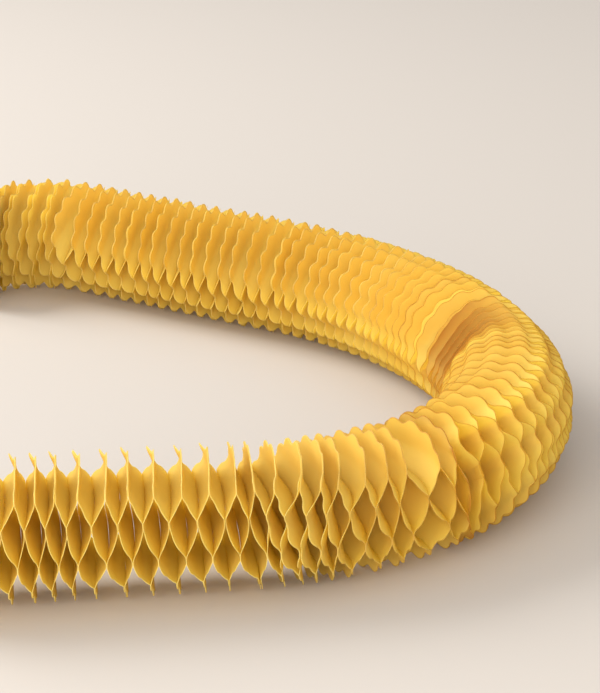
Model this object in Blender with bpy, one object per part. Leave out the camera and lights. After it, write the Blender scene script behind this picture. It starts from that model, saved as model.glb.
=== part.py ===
# Honeycomb tissue garland: die-cut scalloped sheets, glued in stripes and pulled open,
# lying on the floor in a wide hook, with a card disc at each end.
# Metres, +Z up. +Y points from the front stretch to the back stretch.

import math

import bmesh
import bpy

# Die-cut sheet
TIP_RADIUS = 0.065            # centre of a sheet to the tip of a scallop
SCALLOP_DEPTH = 0.0065        # from the tips in to the notches between them
SCALLOPS = 16
WALL = 0.0004                 # modelled thickness of one sheet of tissue
PITCH = 0.0105                # distance between neighbouring sheets, pulled open
FRONT_SHEETS = 46             # sheets in the front bundle; both numbers are even
BACK_SHEETS = 122

# Glue stripes across each sheet; stripes of the two kinds alternate from the top down
STRIPE_SPACING = 0.029
STRIPE_WIDTH = 0.0105

# Card discs that close the two ends
CARD_RADIUS = 0.056
CARD_THICKNESS = 0.001
HANGING_HOLE_RADIUS = 0.002
CARD_SEGMENTS = 40
HOLE_SEGMENTS = 12

GLUE_GAP = 0.0003             # clearance between pieces that are glued face to face

# How the garland lies, from its front end: sheets in each run and its turn to the left
FRONT_HEADING = math.radians(10.5)
LAY = (
    (26.5, math.radians(-1.0)),       # front stretch
    (11.4, math.radians(26.0)),       # start of the bend
    (13.3, math.radians(26.5)),
    (24.3, math.radians(34.0)),       # stretch that runs away from the front
    (23.8, math.radians(22.5)),
    (22.7, math.radians(25.5)),
    (26.7, math.radians(-2.0)),       # back stretch
    (10.7, math.radians(76.0)),       # curl towards the back end
    (10.0, math.radians(20.3)),
)
BACK_ROLL = math.radians(33.75)   # the back bundle is glued on turned, with its stripes sloping

TISSUE_COLOUR = (0.90, 0.50, 0.07, 1.0)
CARD_COLOUR = (0.80, 0.56, 0.16, 1.0)


def clear_scene():
    for old in list(bpy.data.objects):
        bpy.data.objects.remove(old, do_unlink=True)


def make_material(name, colour, roughness):
    material = bpy.data.materials.new(name)
    material.use_nodes = True
    shader = material.node_tree.nodes["Principled BSDF"]
    shader.inputs["Base Color"].default_value = colour
    shader.inputs["Roughness"].default_value = roughness
    shader.inputs["Metallic"].default_value = 0.0
    return material


def add_object(name, mesh, material):
    """Turn a finished bmesh into a named object with its faces pointing out."""
    bmesh.ops.recalc_face_normals(mesh, faces=mesh.faces)
    data = bpy.data.meshes.new(name)
    mesh.to_mesh(data)
    mesh.free()
    data.materials.append(material)
    made = bpy.data.objects.new(name, data)
    bpy.context.scene.collection.objects.link(made)
    return made


def lay_point(distance):
    """Place and heading of the centre line at a distance from the garland's front end."""
    x, y, heading = 0.0, 0.0, FRONT_HEADING
    left = distance
    for number, (sheets, turn) in enumerate(LAY):
        length = sheets * PITCH
        step = left if number == len(LAY) - 1 else min(left, length)
        half_turn = turn * step / length / 2
        chord = step if abs(half_turn) < 1e-9 else step * math.sin(half_turn) / half_turn
        x += chord * math.cos(heading + half_turn)
        y += chord * math.sin(heading + half_turn)
        heading += 2 * half_turn
        left -= step
        if left <= 0:
            break
    return x, y, heading


def rolled(side, level, roll):
    """A spot of a sheet turned in the sheet's own plane, with its top going to the left."""
    return (side * math.cos(roll) + level * math.sin(roll),
            level * math.cos(roll) - side * math.sin(roll))


def beside_line(distance, side, height):
    """A point to the left of the centre line and above the floor."""
    x, y, heading = lay_point(distance)
    return (x - side * math.sin(heading), y + side * math.cos(heading), height)


def outline_corner(number):
    """Corner of the scalloped outline, counted from the top tip: even is a tip, odd a notch."""
    angle = number * math.pi / SCALLOPS
    radius = TIP_RADIUS if number % 2 == 0 else TIP_RADIUS - SCALLOP_DEPTH
    return radius * math.sin(angle), radius * math.cos(angle)


def half_width(height):
    """Half the width of the scalloped outline at a height above the sheet's centre."""
    widest = 0.0
    for number in range(SCALLOPS):
        width_a, height_a = outline_corner(number)
        width_b, height_b = outline_corner(number + 1)
        if min(height_a, height_b) <= height <= max(height_a, height_b):
            share = (height - height_a) / (height_b - height_a)
            widest = max(widest, width_a + share * (width_b - width_a))
    return widest


def stripe_edges():
    """Edges of the glue stripes above the centre; the outer stripe's sheets touch to the tip."""
    inner, outer = STRIPE_SPACING / 2, STRIPE_SPACING * 3 / 2
    return inner - STRIPE_WIDTH / 2, inner + STRIPE_WIDTH / 2, outer - STRIPE_WIDTH / 2


def sheet_levels():
    """Heights where a sheet folds or where its modelled outline turns, from the bottom up."""
    edges = stripe_edges()
    tip, notch = SCALLOPS // 4, SCALLOPS // 4 - 1
    corners = [outline_corner(number)[1] for number in (tip, notch)]
    above = list(edges) + [level for level in corners if level > edges[-1]] + [TIP_RADIUS]
    above.sort()
    return [-level for level in reversed(above)] + [0.0] + above


def glued_sheets(height):
    """Which sheets are glued there: 0 where each even one holds the next, 1 for odd, or None."""
    inner_low, inner_high, outer_low = stripe_edges()
    if height > outer_low or -inner_high < height < -inner_low:
        return 0
    if height < -outer_low or inner_low < height < inner_high:
        return 1
    return None


def fold_shift(height):
    """Shift of an even sheet at a height, from -0.5 to 0.5 of the free space beside it."""
    inner_low, inner_high, outer_low = stripe_edges()
    knots = ((-outer_low, -0.5), (-inner_high, 0.5), (-inner_low, 0.5),
             (inner_low, -0.5), (inner_high, -0.5), (outer_low, 0.5))
    if height <= knots[0][0]:
        return knots[0][1]
    for (low, low_shift), (high, high_shift) in zip(knots, knots[1:]):
        if height <= high:
            share = (height - low) / (high - low)
            return low_shift + share * (high_shift - low_shift)
    return knots[-1][1]


class SheetBundle:
    """One bundle of an even number of sheets, built as one closed body with open tubes."""

    def __init__(self, start, count, roll):
        self.first_middle = start + WALL - PITCH / 2
        self.count = count
        self.roll = roll
        self.levels = sheet_levels()
        self.mesh = bmesh.new()
        self.corners = {}

    def sheet_middle(self, sheet, level):
        """Distance along the garland of a sheet's middle; the two end sheets stay flat."""
        if sheet == 0:
            shift = 0.5
        elif sheet == self.count - 1:
            shift = -0.5
        else:
            shift = fold_shift(self.levels[level]) * (1 if sheet % 2 == 0 else -1)
        return self.first_middle + sheet * PITCH + shift * (PITCH - WALL)

    def glued(self, sheet, band):
        """Whether a sheet is glued to the next one between a level and the one above."""
        if not 0 <= sheet < self.count - 1 or not 0 <= band < len(self.levels) - 1:
            return False
        return glued_sheets((self.levels[band] + self.levels[band + 1]) / 2) == sheet % 2

    def corner(self, sheet, face, level, side):
        """Corner of a sheet's back (face 0) or front (face 1); glued faces share theirs."""
        if face == 0 and (self.glued(sheet - 1, level) or self.glued(sheet - 1, level - 1)):
            sheet, face = sheet - 1, 1
        width = half_width(self.levels[level])
        key = (sheet, face, level, side if width > 1e-6 else 0)
        if key not in self.corners:
            distance = self.sheet_middle(sheet, level) + (face - 0.5) * WALL
            across, rise = rolled(side * width, self.levels[level], self.roll)
            spot = beside_line(distance, across, TIP_RADIUS + rise)
            self.corners[key] = self.mesh.verts.new(spot)
        return self.corners[key]

    def add_face(self, *ring):
        """A face on the given corners, left out where the outline has run to a point."""
        distinct = [spot for number, spot in enumerate(ring) if spot is not ring[number - 1]]
        if len(distinct) > 2:
            self.mesh.faces.new(distinct)

    def add_broad_face(self, sheet, face, band):
        low_left, low_right = (self.corner(sheet, face, band, side) for side in (1, -1))
        top_left, top_right = (self.corner(sheet, face, band + 1, side) for side in (1, -1))
        self.add_face(low_left, low_right, top_right)
        self.add_face(low_left, top_right, top_left)

    def edge_row(self, sheet, last, level, band, side):
        """Corners across the cut edge of a sheet, or of a glued pair, at one level."""
        row = [self.corner(sheet, 0, level, side)]
        beyond = level - 1 if level == band else level
        if last > sheet and 0 < level < len(self.levels) - 1 and not self.glued(sheet, beyond):
            row.append(self.corner(sheet, 1, level, side))
        row.append(self.corner(last, 1, level, side))
        return row

    def add_cut_edge(self, sheet, last, band, side):
        low = self.edge_row(sheet, last, band, band, side)
        top = self.edge_row(sheet, last, band + 1, band, side)
        if len(low) == len(top):
            for number in range(len(low) - 1):
                self.add_face(low[number], low[number + 1], top[number + 1], top[number])
        else:
            longer, shorter = (low, top) if len(low) > len(top) else (top, low)
            self.add_face(longer[0], longer[1], shorter[0])
            self.add_face(longer[1], shorter[1], shorter[0])
            self.add_face(longer[1], longer[2], shorter[1])

    def build(self):
        for band in range(len(self.levels) - 1):
            for sheet in range(self.count):
                held_before = self.glued(sheet - 1, band)
                held_after = self.glued(sheet, band)
                if not held_before:
                    self.add_broad_face(sheet, 0, band)
                    for side in (1, -1):
                        self.add_cut_edge(sheet, sheet + 1 if held_after else sheet, band, side)
                if not held_after:
                    self.add_broad_face(sheet, 1, band)
        return self.mesh

    def end(self):
        """Distance along the garland where the bundle's last sheet ends."""
        return self.sheet_middle(self.count - 1, 0) + WALL / 2


def ring_on_line(mesh, distance, radius, segments):
    spots = []
    for number in range(segments):
        angle = 2 * math.pi * number / segments
        spot = beside_line(distance, radius * math.cos(angle), TIP_RADIUS + radius * math.sin(angle))
        spots.append(mesh.verts.new(spot))
    return [mesh.edges.new((spots[number - 1], spots[number])) for number in range(segments)]


def card_disc(distance):
    """A flat disc with a hanging hole, square to the garland, whose lower face is at a distance."""
    mesh = bmesh.new()
    rim = ring_on_line(mesh, distance, CARD_RADIUS, CARD_SEGMENTS)
    hole = ring_on_line(mesh, distance, HANGING_HOLE_RADIUS, HOLE_SEGMENTS)
    bmesh.ops.triangle_fill(mesh, edges=rim + hole, use_beauty=True)
    heading = lay_point(distance)[2]
    wall = bmesh.ops.extrude_face_region(mesh, geom=mesh.faces[:])
    moved = [item for item in wall["geom"] if isinstance(item, bmesh.types.BMVert)]
    thick = (CARD_THICKNESS * math.cos(heading), CARD_THICKNESS * math.sin(heading), 0.0)
    bmesh.ops.translate(mesh, verts=moved, vec=thick)
    return mesh


def centre_on_floor(objects):
    """Put the middle of the garland's floor plan at the origin, with the floor at zero."""
    spots = [vertex.co for made in objects for vertex in made.data.vertices]
    low = [min(spot[axis] for spot in spots) for axis in range(3)]
    high = [max(spot[axis] for spot in spots) for axis in range(3)]
    middle = ((low[0] + high[0]) / 2, (low[1] + high[1]) / 2, low[2])
    for made in objects:
        for vertex in made.data.vertices:
            vertex.co = [vertex.co[axis] - middle[axis] for axis in range(3)]


def build_garland():
    tissue = make_material("tissue", TISSUE_COLOUR, 0.75)
    card = make_material("card", CARD_COLOUR, 0.8)
    front = SheetBundle(CARD_THICKNESS + GLUE_GAP, FRONT_SHEETS, 0.0)
    back = SheetBundle(front.end() + GLUE_GAP, BACK_SHEETS, BACK_ROLL)
    objects = [
        add_object("front_end_card", card_disc(0.0), card),
        add_object("back_end_card", card_disc(back.end() + GLUE_GAP), card),
        add_object("front_tissue_bundle", front.build(), tissue),
        add_object("back_tissue_bundle", back.build(), tissue),
    ]
    centre_on_floor(objects)
    for made in objects:
        print(made.name, len(made.data.polygons), "faces")


clear_scene()
build_garland()
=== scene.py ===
import math
import random

import bmesh
import bpy
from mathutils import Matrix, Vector


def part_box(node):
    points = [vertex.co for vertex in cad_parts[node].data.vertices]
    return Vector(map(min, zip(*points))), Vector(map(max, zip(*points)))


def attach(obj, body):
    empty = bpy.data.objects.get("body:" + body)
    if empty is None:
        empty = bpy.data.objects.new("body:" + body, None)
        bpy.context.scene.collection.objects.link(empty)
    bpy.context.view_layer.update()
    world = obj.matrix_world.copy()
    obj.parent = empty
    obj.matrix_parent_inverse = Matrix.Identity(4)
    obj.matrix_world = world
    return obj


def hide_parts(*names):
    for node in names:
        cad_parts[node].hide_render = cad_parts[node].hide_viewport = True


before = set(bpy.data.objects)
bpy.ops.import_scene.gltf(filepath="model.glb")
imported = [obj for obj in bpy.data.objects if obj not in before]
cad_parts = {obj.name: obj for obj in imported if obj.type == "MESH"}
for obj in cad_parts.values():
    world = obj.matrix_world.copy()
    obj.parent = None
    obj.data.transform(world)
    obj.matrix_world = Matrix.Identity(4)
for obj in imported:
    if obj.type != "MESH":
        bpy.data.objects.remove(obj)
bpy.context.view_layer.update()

# how the garland lies on the floor, the same plan as in the part, lengths to the millimetre
lay = {
    "heading": math.radians(10.5),
    # length in metres and turn in degrees of each run of the centre line
    "runs": (
        (0.278, -1.0), (0.120, 26.0), (0.140, 26.5), (0.255, 34.0), (0.250, 22.5),
        (0.238, 25.5), (0.280, -2.0), (0.112, 76.0), (0.105, 20.3),
    ),
    "halfCard": 0.0005,
}
cardLow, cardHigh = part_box("front_end_card")
toFirstSheet = Vector((math.cos(lay["heading"]), math.sin(lay["heading"]), 0))
pathStart = (cardLow + cardHigh) / 2 - toFirstSheet * lay["halfCard"]
floorLevel = min(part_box("front_tissue_bundle")[0].z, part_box("back_tissue_bundle")[0].z)


# small helpers

def blendOver(value, low, high):
    # smooth step from 0 at low to 1 at high
    share = min(1.0, max(0.0, (value - low) / (high - low)))
    return share * share * (3 - 2 * share)


def fromKnots(knots, at):
    # smooth steps between (place, value) knots
    if at <= knots[0][0]:
        return knots[0][1]
    for (low, lowValue), (high, highValue) in zip(knots, knots[1:]):
        if at <= high:
            return lowValue + (highValue - lowValue) * blendOver(at, low, high)
    return knots[-1][1]


def layPoint(distance):
    # place and heading of the centre line at a distance along it
    x, y, heading = pathStart.x, pathStart.y, lay["heading"]
    left = distance
    for number, (length, turn) in enumerate(lay["runs"]):
        step = left if number == len(lay["runs"]) - 1 else min(left, length)
        half = math.radians(turn) * step / length / 2
        chord = step if abs(half) < 1e-9 else step * math.sin(half) / half
        x += chord * math.cos(heading + half)
        y += chord * math.sin(heading + half)
        heading += 2 * half
        left -= step
        if left <= 0:
            break
    return x, y, heading


# one die-cut sheet, flat
dieCut = {
    "tipRadius": 0.065,
    "scallops": 16,
    "roundness": 0.25,
    "rimWidth": 0.0010,
    "thickness": 0.0005,
    # levels of the outer rows of points, below and above the glue stripes
    "lowestRow": -0.058,
    "upperRows": [0.054, 0.060],
}
tipRadius = dieCut["tipRadius"]


def rimRadius(angle, notch):
    wave = math.cos(dieCut["scallops"] * angle)
    middle = (tipRadius + notch) / 2
    return middle + (tipRadius - notch) / 2 * (wave + dieCut["roundness"] * (1 - wave * wave))


def spread(low, high, steps):
    return [low + (high - low) * number / steps for number in range(steps)]


def foldHeights(bundle):
    # levels where the sheet gets a row of points, close together where it bends
    marks = [dieCut["lowestRow"]] + sorted(bundle["stripes"].values()) + dieCut["upperRows"]
    heights = []
    for low, high, count in zip(marks, marks[1:], bundle["foldSteps"]):
        heights += spread(low, high, count)
    return heights + [marks[-1]]


def flatSheet(bundle):
    sheet = bmesh.new()
    # the band along the cut edge that takes the rims' painted highlight and painted shade
    edgeShare = sheet.verts.layers.float.new("edgeShare")
    corners = dieCut["scallops"] * bundle["pointsPerScallop"]
    bmesh.ops.create_circle(sheet, cap_ends=True, segments=corners, radius=1.0)
    for vert in sheet.verts:
        angle = math.atan2(vert.co.x, vert.co.y)
        radius = rimRadius(angle, bundle["notch"])
        vert.co = (radius * math.sin(angle), radius * math.cos(angle), 0)
        vert[edgeShare] = 1.0
    bmesh.ops.inset_region(sheet, faces=sheet.faces[:], thickness=dieCut["rimWidth"],
                           use_boundary=True, use_even_offset=True)
    for vert in sheet.verts:
        if not vert.is_boundary:
            vert[edgeShare] = 0.0
    cuts = [(height, 1) for height in foldHeights(bundle)]
    cuts += [(column, 0) for column in spread(*bundle["columns"])]
    for spot, axis in cuts:
        point, normal = [0, 0, 0], [0, 0, 0]
        point[axis], normal[axis] = spot, 1
        geometry = sheet.verts[:] + sheet.edges[:] + sheet.faces[:]
        bmesh.ops.bisect_plane(sheet, geom=geometry, dist=1e-6, plane_co=point, plane_no=normal)
    mesh = bpy.data.meshes.new("flatSheet")
    sheet.to_mesh(mesh)
    sheet.free()
    print("flat sheet of the", bundle["name"], "with", len(mesh.polygons), "faces")
    return mesh


# where the glued pairs sit along the garland
glueHalf = 0.0003  # from the middle of a glued pair to each of its two sheets
# how a sheet swings from one stripe to the next, and how the lowest cell rounds off
crossing = {"swingPower": 1.5, "bellyStraight": 0.58, "bellyLate": 0.42, "latePower": 7, "backPower": 0.95}


def smoothNoise(seed, count, size, hold=0.5):
    # random offsets where neighbours pull on each other
    dice = random.Random(seed)
    value, offsets = 0.0, []
    for _ in range(count):
        value = value * hold + dice.uniform(-size, size)
        offsets.append(value)
    return offsets


def pairRows(bundle, places):
    # rows by name: "A" pairs hold an even sheet and the next, "B" pairs an odd one and the next
    ends = bundle["ends"]
    middles = [places[0] - ends[0]]
    middles += [(low + high) / 2 for low, high in zip(places, places[1:])]
    middles.append(places[-1] + ends[1])
    rows = {}
    for number, name in enumerate(("A1", "B1", "A2", "B2")):
        base = places if name[0] == "A" else middles
        size = 0 if name in bundle["evenRows"] else bundle["unevenness"]
        offsets = smoothNoise(bundle["rowSeed"] + number, len(base), size)
        rows[name] = [spot + shift for spot, shift in zip(base, offsets)]
    return rows


def fall(share, swing):
    # a sheet leaves its stripe straight down and swings over to the next one
    return (1 - swing) * blendOver(share, 0, 1) + swing * share ** crossing["swingPower"]


def sheetDistance(bundle, rows, sheet, height):
    # distance along the garland of a sheet at a height above the disc's middle
    stripes, swing = bundle["stripes"], bundle["swing"]
    pairA, pairB = sheet // 2, (sheet + 1) // 2
    sideA = -1 if sheet % 2 == 0 else 1
    sideB = -sideA
    topA = rows["A1"][pairA] + sideA * glueHalf
    topB = rows["B1"][pairB] + sideB * glueHalf
    lowA = rows["A2"][pairA] + sideA * glueHalf
    lowB = rows["B2"][pairB] + sideB * glueHalf
    if height >= stripes["topA"]:
        return topA
    if height >= stripes["highB"]:
        share = (stripes["topA"] - height) / (stripes["topA"] - stripes["highB"])
        return topA + (topB - topA) * fall(share, swing)
    if height >= stripes["lowB"]:
        return topB
    if height >= stripes["highA"]:
        share = (stripes["lowB"] - height) / (stripes["lowB"] - stripes["highA"])
        return topB + (lowA - topB) * fall(share, swing)
    if height >= stripes["lowA"]:
        return lowA
    # the lowest pair hangs in a small round belly before it closes to a pin
    if height <= stripes["belly"]:
        return lowB
    share = (stripes["lowA"] - height) / (stripes["lowA"] - stripes["belly"])
    if sideB < 0:
        late = crossing["bellyLate"] * share ** crossing["latePower"]
        return lowA + (lowB - lowA) * (crossing["bellyStraight"] * share + late)
    return lowA + (lowB - lowA) * share ** crossing["backPower"]


# how loose tissue stands: each value is a row of knots, (distance along the garland, value)
looseTissue = {
    # turn about the upright and lean along the garland, in degrees
    "yaw": ((0.0, -6.0), (0.15, -6.0), (0.20, -7.0), (0.26, -4.5), (0.31, -1.0), (0.34, 0.0),
            (1.00, 0.0), (1.25, 10.0), (1.40, 15.0), (1.54, 15.0), (1.59, 0.0), (1.8, 0.0)),
    "lean": ((0.0, 0.0), (0.36, 0.0), (0.42, 6.0), (0.48, 13.0), (0.51, 9.0), (0.57, 0.0), (1.8, 0.0)),
    # in the front stretch the lower part of each sheet hangs ahead of its top, in degrees
    "hang": ((0.0, 3.0), (0.11, 3.5), (0.135, 1.0), (0.15, 1.0), (0.175, 5.0), (0.21, 5.0),
             (0.262, 3.5), (0.280, 9.5), (0.30, 8.0), (0.33, 3.0), (0.37, 0.0), (1.8, 0.0)),
    # on the way into the hook the side near the viewer stays back, in metres
    "nearBow": ((0.0, 0.0), (0.27, 0.0), (0.31, -0.010), (0.34, -0.012), (0.478, -0.012), (0.56, 0.0),
                (1.8, 0.0)),
    # how far the upper lobes twist apart, as a share
    "prong": ((0.0, 1.0), (0.24, 1.0), (0.29, 0.0), (1.8, 0.0)),
}
wholeSheet = {
    # the back bundle is glued on turned by one and a half scallops, in degrees
    "roll": ((0.0, -1.5), (0.28, -1.5), (0.36, -5.0), (0.4808, -5.0), (0.4809, 33.75), (1.8, 33.75)),
    # in the curl at the back end the sheets stay turned, in degrees
    "turn": ((0.0, 0.0), (1.575, 0.0), (1.65, -40.0), (1.76, 0.0)),
    # how much the glue stripes climb towards the far side
    "climb": ((0.0, 0.08), (0.26, 0.08), (0.34, 0.0), (1.8, 0.0)),
    # how far the inner side of the bend is pressed in
    "pinch": ((0.73, 0.0), (0.83, 1.0), (0.86, 1.0), (0.95, 0.0), (1.8, 0.0)),
    # the scallops show deeper in the back stretch than in the bend
    "wave": ((0.0, 0.0), (0.95, 0.0), (1.10, 0.7), (1.8, 0.7)),
    # the loose sheets at the seam curl away from it, in metres
    "curl": ((0.466, 0.0), (0.472, -0.0060), (0.4808, -0.0060), (0.4809, 0.0050), (0.487, 0.0050),
             (0.494, 0.0), (1.8, 0.0)),
    # painted shade where sheets lie tightly packed: the paint and the light through the paper are darker on
    # the inner side of the bend and at the rims at the seam
    "paintedShadeShare": ((0.75, 0.0), (0.82, 1.0), (0.865, 1.0), (0.915, 0.0), (1.8, 0.0)),
    "seam": ((0.474, 0.0), (0.480, 0.75), (0.482, 0.75), (0.487, 0.0), (1.8, 0.0)),
    # cut edges with a painted highlight at 1 and painted shade at 0: light rims along the front stretch,
    # dark rims in the bend, fairly light ones in the back stretch
    "paintedRimHighlightShare": ((0.0, 1.0), (0.28, 1.0), (0.42, 0.35), (0.50, 0.0), (0.92, 0.0), (1.10, 0.6), (1.8, 0.6)),
}
play = {
    # chance in each sheet's height, up to this far from the disc's middle, and in its curl
    "rise": 0.0006, "riseSpan": 0.05, "curl": 0.0012,
    # the rim curls less at a sheet's top and bottom
    "curlShare": 0.5, "endCurl": 0.3, "endHeight": 0.045,
    # the middle stands ahead of the sides
    "bow": 0.0020, "bowReach": 0.05,
    # the pinch comes from the far upper side
    "pinchDepth": 0.27, "pinchSide": 0.8, "pinchUp": 0.6,
    # distances from the disc's middle where the deeper notches and the painted shade on the seam's rims set
    # in
    "notchZone": (0.050, 0.060), "seamShadeZone": (0.056, 0.064),
    # the stripes climb from this far on the near side, and not in the upper cells
    "climbFrom": 0.035, "climbBelow": 0.018,
    # where and how far the upper lobes twist
    "lobeHeights": (0.046, 0.060), "lobeSides": (0.004, 0.022), "lobeAhead": 0.0006, "lobeTwist": 0.0056,
}


def ownValues(middle, dice):
    # what holds for the whole of one sheet
    tone = dice.random()
    rise = dice.uniform(-play["rise"], play["rise"])
    curl = dice.uniform(-play["curl"], play["curl"])
    own = {name: fromKnots(knots, middle) for name, knots in wholeSheet.items()}
    own["curl"] = curl + own["curl"]
    own["turn"] = math.radians(own["turn"])
    own.update(tone=tone, rise=rise)
    return own


def rolledAndPressed(across, level, own):
    # a point of the flat sheet after the roll, the deeper notches and the pinch, and how much painted shade
    # it gets where sheets lie tight
    roll = math.radians(own["roll"])
    side = across * math.cos(roll) + level * math.sin(roll)
    height = level * math.cos(roll) - across * math.sin(roll)
    radius = math.hypot(side, height)
    if radius > play["notchZone"][0]:
        deeper = 1 - own["wave"] * (tipRadius - radius) * blendOver(radius, *play["notchZone"]) / radius
        side, height = side * deeper, height * deeper
    inward = max(0.0, (play["pinchSide"] * side + play["pinchUp"] * height) / tipRadius)
    press = 1 - play["pinchDepth"] * own["pinch"] * inward ** 3
    # painted shade: strongest deep in the pressed-in valley and on the rims at the seam
    paintedShadeAmount = own["paintedShadeShare"] * inward ** 2 + own["seam"] * blendOver(radius, *play["seamShadeZone"])
    return side * press, height * press, paintedShadeAmount


def askew(distance, side, height):
    # the sheets are turned, lean and bend a little, glued ones alike
    yaw = math.radians(fromKnots(looseTissue["yaw"], distance))
    lean = math.radians(fromKnots(looseTissue["lean"], distance))
    hang = math.radians(fromKnots(looseTissue["hang"], distance))
    nearBow = fromKnots(looseTissue["nearBow"], distance)
    prong = fromKnots(looseTissue["prong"], distance)
    moved = distance - side * math.sin(yaw) - height * math.tan(lean) + (tipRadius - height) * math.tan(hang)
    reach = play["bowReach"]
    moved += nearBow * (max(0.0, -side) / reach) ** 2 + play["bow"] * (1 - (side / reach) ** 2)
    twist = play["lobeAhead"] - play["lobeTwist"] * blendOver(side, *play["lobeSides"])
    return moved + prong * blendOver(height, *play["lobeHeights"]) * twist


def curledRim(side, height, curl):
    # the rim of a sheet curls forwards or back, less at its top and bottom
    out = (side * side + height * height) / (tipRadius * tipRadius)
    share = play["endCurl"] if abs(height) > play["endHeight"] else 1.0
    return curl * out * out * share * play["curlShare"]


def tissueMesh(name, bundle, flat, rows, sheets, seed):
    dice = random.Random(seed)
    tissue = bmesh.new()
    for layer in ("edgeShare", "sheetTone", "paintedRimHighlightShare", "paintedTightShade"):
        tissue.verts.layers.float.new(layer)
    sheetTone = tissue.verts.layers.float["sheetTone"]
    paintedRimHighlightShare = tissue.verts.layers.float["paintedRimHighlightShare"]
    paintedTightShade = tissue.verts.layers.float["paintedTightShade"]
    points = [(vert.co.x, vert.co.y) for vert in flat.vertices]
    done = 0
    for sheet in sheets:
        tissue.from_mesh(flat)
        tissue.verts.ensure_lookup_table()
        own = ownValues(sheetDistance(bundle, rows, sheet, 0.0), dice)
        for number, (across, level) in enumerate(points):
            side, height, paintedShadeAmount = rolledAndPressed(across, level, own)
            rising = own["climb"] * max(0.0, side + play["climbFrom"])
            rising *= blendOver(-level, -play["climbBelow"], 0.0)
            distance = askew(sheetDistance(bundle, rows, sheet, level - rising), side, height)
            distance += curledRim(side, height, own["curl"])
            x, y, heading = layPoint(distance)
            facing = heading + own["turn"]
            up = floorLevel + tipRadius + height
            up += own["rise"] * blendOver(height, -play["riseSpan"], play["riseSpan"])
            vert = tissue.verts[done + number]
            vert.co = (x - side * math.sin(facing), y + side * math.cos(facing), up)
            vert[sheetTone] = own["tone"]
            vert[paintedRimHighlightShare] = own["paintedRimHighlightShare"]
            vert[paintedTightShade] = paintedShadeAmount
        done += len(points)
    mesh = bpy.data.meshes.new(name)
    tissue.to_mesh(mesh)
    tissue.free()
    for face in mesh.polygons:
        face.use_smooth = True
    return mesh


def addTissue(name, mesh, material, node):
    piece = bpy.data.objects.new(name, mesh)
    bpy.context.scene.collection.objects.link(piece)
    mesh.materials.append(material)
    wall = piece.modifiers.new("thickness", "SOLIDIFY")
    wall.thickness = dieCut["thickness"]
    wall.offset = 0
    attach(piece, "root")
    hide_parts(node)
    print(name, "with", len(mesh.polygons), "faces")


# materials

def newMaterial(name):
    material = bpy.data.materials.new(name)
    material.use_nodes = True
    return material, material.node_tree, material.node_tree.nodes["Principled BSDF"]


def noiseOf(tree, scale, detail):
    coords = tree.nodes.new("ShaderNodeTexCoord")
    noise = tree.nodes.new("ShaderNodeTexNoise")
    noise.inputs["Scale"].default_value = scale
    noise.inputs["Detail"].default_value = detail
    tree.links.new(coords.outputs["Object"], noise.inputs["Vector"])
    return noise.outputs["Fac"]


def paintedOn(tree, name):
    # an attribute that the mesh carries
    attribute = tree.nodes.new("ShaderNodeAttribute")
    attribute.attribute_name = name
    return attribute.outputs["Fac"]


def mixColour(tree, share, first, second):
    # each end is a colour or another node's output
    mix = tree.nodes.new("ShaderNodeMix")
    mix.data_type = "RGBA"
    tree.links.new(share, mix.inputs["Factor"])
    for name, end in (("A", first), ("B", second)):
        if isinstance(end, tuple):
            mix.inputs[name].default_value = end
        else:
            tree.links.new(end, mix.inputs[name])
    return mix.outputs["Result"]


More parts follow.
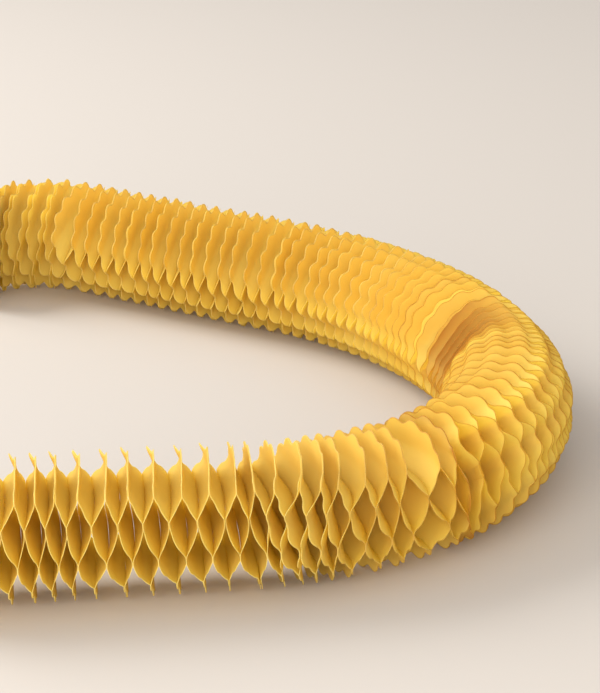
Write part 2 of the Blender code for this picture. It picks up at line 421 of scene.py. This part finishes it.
def tissuePaper():
    look = {
        "low": (0.98, 0.79, 0.18, 1), "high": (1.0, 0.875, 0.27, 1),
        # rim colours for the painted shade and the painted highlight
        "paintedShadeEdge": (0.52, 0.19, 0.02, 1), "paintedHighlightEdge": (1.0, 0.90, 0.34, 1),
        # the darker colour of the painted shade where sheets lie tight
        "glow": (1.0, 0.85, 0.25, 1), "paintedTightShade": (0.68, 0.32, 0.04, 1),
        "cloudScale": 28, "cloudDetail": 3, "cloudShare": 0.8, "toneShare": 0.55,
        "roughness": 0.62, "sheen": 0.25, "letsThrough": 0.56,
        "fibreScale": 900, "fibreDetail": 2, "fibreStrength": 0.12, "fibreDepth": 0.0004,
    }
    material, tree, paper = newMaterial("tissuePaper")
    nodes, links = tree.nodes, tree.links
    # each sheet has its own tone, with soft clouds in it
    tone = nodes.new("ShaderNodeMath")
    tone.operation = "MULTIPLY_ADD"
    links.new(noiseOf(tree, look["cloudScale"], look["cloudDetail"]), tone.inputs[0])
    tone.inputs[1].default_value = look["cloudShare"]
    links.new(paintedOn(tree, "sheetTone"), tone.inputs[2])
    part = nodes.new("ShaderNodeMath")
    part.operation = "MULTIPLY"
    links.new(tone.outputs[0], part.inputs[0])
    part.inputs[1].default_value = look["toneShare"]
    colour = mixColour(tree, part.outputs[0], look["low"], look["high"])
    # painted highlight and painted shade on the cut edges, blended by each sheet's rim value
    edge = mixColour(tree, paintedOn(tree, "paintedRimHighlightShare"), look["paintedShadeEdge"], look["paintedHighlightEdge"])
    colour = mixColour(tree, paintedOn(tree, "edgeShare"), colour, edge)
    # painted shade where sheets lie tight: a darker colour in the paint and in the light through the paper
    paintedShadeShare = paintedOn(tree, "paintedTightShade")
    links.new(mixColour(tree, paintedShadeShare, colour, look["paintedTightShade"]), paper.inputs["Base Color"])
    paper.inputs["Roughness"].default_value = look["roughness"]
    paper.inputs["Specular IOR Level"].default_value = look["sheen"]
    # fine fibres
    bump = nodes.new("ShaderNodeBump")
    bump.inputs["Strength"].default_value = look["fibreStrength"]
    bump.inputs["Distance"].default_value = look["fibreDepth"]
    links.new(noiseOf(tree, look["fibreScale"], look["fibreDetail"]), bump.inputs["Height"])
    links.new(bump.outputs["Normal"], paper.inputs["Normal"])
    # light that comes through the paper, its colour darkened by the painted shade too
    through = nodes.new("ShaderNodeBsdfTranslucent")
    links.new(mixColour(tree, paintedShadeShare, look["glow"], look["paintedTightShade"]), through.inputs["Color"])
    links.new(bump.outputs["Normal"], through.inputs["Normal"])
    both = nodes.new("ShaderNodeMixShader")
    both.inputs["Fac"].default_value = look["letsThrough"]
    links.new(paper.outputs["BSDF"], both.inputs[1])
    links.new(through.outputs["BSDF"], both.inputs[2])
    links.new(both.outputs["Shader"], nodes["Material Output"].inputs["Surface"])
    return material


def endCard():
    look = {"dark": (0.72, 0.45, 0.10, 1), "light": (0.86, 0.62, 0.20, 1), "roughness": 0.8,
            "grainScale": 160, "grainDetail": 5}
    material, tree, paper = newMaterial("endCard")
    noise = noiseOf(tree, look["grainScale"], look["grainDetail"])
    grain = mixColour(tree, noise, look["dark"], look["light"])
    tree.links.new(grain, paper.inputs["Base Color"])
    paper.inputs["Roughness"].default_value = look["roughness"]
    return material


tissue = tissuePaper()
card = endCard()
for node in ("front_end_card", "back_end_card"):
    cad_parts[node].data.materials.clear()
    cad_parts[node].data.materials.append(card)
print("tissue and card materials made")


# front bundle, fully pulled open
frontBundle = {
    "name": "front bundle",
    "sheets": 46,
    # edges of the glue stripes, heights above the disc's middle
    "stripes": {"topA": 0.0405, "highB": 0.0210, "lowB": 0.0155,
                "highA": -0.0140, "lowA": -0.0180, "belly": -0.0400},
    "swing": 0.6,
    # gaps between the glued pairs in mm, read off the front stretch and the bend
    "firstPair": 0.0065,
    "gapsMm": (23.5, 23.5, 23.5, 17.3, 17.3, 20.7, 23.3, 18.1, 22.4, 24.2, 23.3, 22.4,
               13, 20.7, 22.3, 18, 14, 23.7, 21.8, 17.5, 36, 21),
    "ends": (0.010, 0.0075),
    "unevenness": 0.0007,
    "evenRows": ("A1",),
    "rowSeed": 5,
    "notch": 0.0600,
    "pointsPerScallop": 10,
    "foldSteps": (2, 5, 2, 6, 2, 5, 3, 2),
    "columns": (-0.05, 0.06, 11),
    "sheetSeed": 3,
}


def frontPlaces():
    places = [frontBundle["firstPair"]]
    for gap in frontBundle["gapsMm"]:
        places.append(places[-1] + gap / 1000)
    return places


frontRows = pairRows(frontBundle, frontPlaces())
frontMesh = tissueMesh("front_tissue", frontBundle, flatSheet(frontBundle), frontRows,
                       range(frontBundle["sheets"]), frontBundle["sheetSeed"])
addTissue("front_tissue", frontMesh, tissue, "front_tissue_bundle")


# back bundle, in three lengths
backBundle = {
    "name": "back bundle",
    "stripes": {"topA": 0.0385, "highB": 0.0195, "lowB": 0.0095,
                "highA": -0.0095, "lowA": -0.0195, "belly": -0.0480},
    "swing": 0.3,
    "firstPair": 0.4940,
    "lastPair": 1.7520,
    "pairs": 61,
    # widths of the gaps against each other, by share of the pairs
    "gapKnots": ((0.0, 25), (0.06, 29), (0.12, 28), (0.15, 17), (0.27, 17), (0.29, 28),
                 (0.32, 28), (0.34, 20), (1.0, 20)),
    "gapPlay": 0.13,
    "gapSeed": 31,
    "ends": (0.0105, 0.010),
    "unevenness": 0.0014,
    "evenRows": (),
    "rowSeed": 11,
    "notch": 0.0610,
    "pointsPerScallop": 8,
    "foldSteps": (1, 4, 1, 4, 1, 4, 2, 1),
    "columns": (-0.045, 0.06, 7),
    # first sheet of each length, and the end
    "lengths": (0, 40, 82, 122),
    "sheetSeed": 7,
}


def backPlaces():
    dice = random.Random(backBundle["gapSeed"])
    count = backBundle["pairs"] - 1
    gapPlay = backBundle["gapPlay"]
    spots = [(number + 0.5) / count for number in range(count)]
    gaps = [fromKnots(backBundle["gapKnots"], spot) * (1.0 + dice.uniform(-gapPlay, gapPlay))
            for spot in spots]
    scale = (backBundle["lastPair"] - backBundle["firstPair"]) / sum(gaps)
    places = [backBundle["firstPair"]]
    for gap in gaps:
        places.append(places[-1] + gap * scale)
    return places


backRows = pairRows(backBundle, backPlaces())
backFlat = flatSheet(backBundle)
lengths = backBundle["lengths"]
for number, (first, end) in enumerate(zip(lengths, lengths[1:])):
    name = f"back_tissue_{number + 1}"
    seed = backBundle["sheetSeed"] + number
    backMesh = tissueMesh(name, backBundle, backFlat, backRows, range(first, end), seed)
    addTissue(name, backMesh, tissue, "back_tissue_bundle")


# floor, light, camera
stage = {
    "floorColour": (0.62, 0.57, 0.52, 1),
    "floorRoughness": 0.9,
    "floorReach": 30,
    "floorDrop": 0.0004,
    "lampColour": (1.0, 0.98, 0.95),
    "lampTarget": (0, 0, 0.05),
    # place, size and watts of each lamp
    "lamps": {"window": ((-3.0, 1.4, 2.4), (3.2, 2.6), 156), "fill": ((-0.7, -3.4, 1.1), (2.5, 2.0), 98)},
    "roomLight": (1.0, 0.98, 0.96, 1),
    "roomStrength": 0.7,
    "backdrop": (0.93, 0.92, 0.90, 1),
}


def addFloor():
    mesh = bpy.data.meshes.new("floor")
    plan = bmesh.new()
    bmesh.ops.create_grid(plan, x_segments=1, y_segments=1, size=stage["floorReach"])
    plan.to_mesh(mesh)
    plan.free()
    floor = bpy.data.objects.new("floor", mesh)
    floor.location.z = floorLevel - stage["floorDrop"]
    bpy.context.scene.collection.objects.link(floor)
    material, _, paper = newMaterial("floorPaper")
    paper.inputs["Base Color"].default_value = stage["floorColour"]
    paper.inputs["Roughness"].default_value = stage["floorRoughness"]
    mesh.materials.append(material)


def addAreaLight(name, place, size, watts):
    lamp = bpy.data.lights.new(name, "AREA")
    lamp.shape = "RECTANGLE"
    lamp.size, lamp.size_y = size
    lamp.energy = watts
    lamp.color = stage["lampColour"]
    made = bpy.data.objects.new(name, lamp)
    made.location = place
    aim = Vector(stage["lampTarget"]) - Vector(place)
    made.rotation_euler = aim.to_track_quat("-Z", "Y").to_euler()
    bpy.context.scene.collection.objects.link(made)


def addRoom():
    # soft light from all sides, and a plain backdrop that only the camera sees
    world = bpy.data.worlds.new("room")
    bpy.context.scene.world = world
    world.use_nodes = True
    nodes, links = world.node_tree.nodes, world.node_tree.links
    room = nodes["Background"]
    room.inputs["Color"].default_value = stage["roomLight"]
    room.inputs["Strength"].default_value = stage["roomStrength"]
    backdrop = nodes.new("ShaderNodeBackground")
    backdrop.inputs["Color"].default_value = stage["backdrop"]
    backdrop.inputs["Strength"].default_value = 1.0
    rays = nodes.new("ShaderNodeLightPath")
    pick = nodes.new("ShaderNodeMixShader")
    links.new(rays.outputs["Is Camera Ray"], pick.inputs["Fac"])
    links.new(room.outputs["Background"], pick.inputs[1])
    links.new(backdrop.outputs["Background"], pick.inputs[2])
    links.new(pick.outputs["Shader"], nodes["World Output"].inputs["Surface"])


def addCamera():
    view = {"lens": 158.6, "sensor": 36, "tilt": 16.408, "from": (0.3227, -2.4697, 0.9604)}
    lens = bpy.data.cameras.new("camera")
    lens.sensor_width = view["sensor"]
    lens.lens = view["lens"]
    lens.clip_end = 100
    camera = bpy.data.objects.new("camera", lens)
    right, back, up = view["from"]
    camera.location = (pathStart.x + right, pathStart.y + back, floorLevel + up)
    camera.rotation_euler = (math.radians(90 - view["tilt"]), 0, 0)
    bpy.context.scene.collection.objects.link(camera)
    bpy.context.scene.camera = camera


addFloor()
for name, (place, size, watts) in stage["lamps"].items():
    addAreaLight(name, place, size, watts)
addRoom()
addCamera()
bpy.context.scene.view_settings.view_transform = "Standard"
print("floor, lamps, room and camera set")
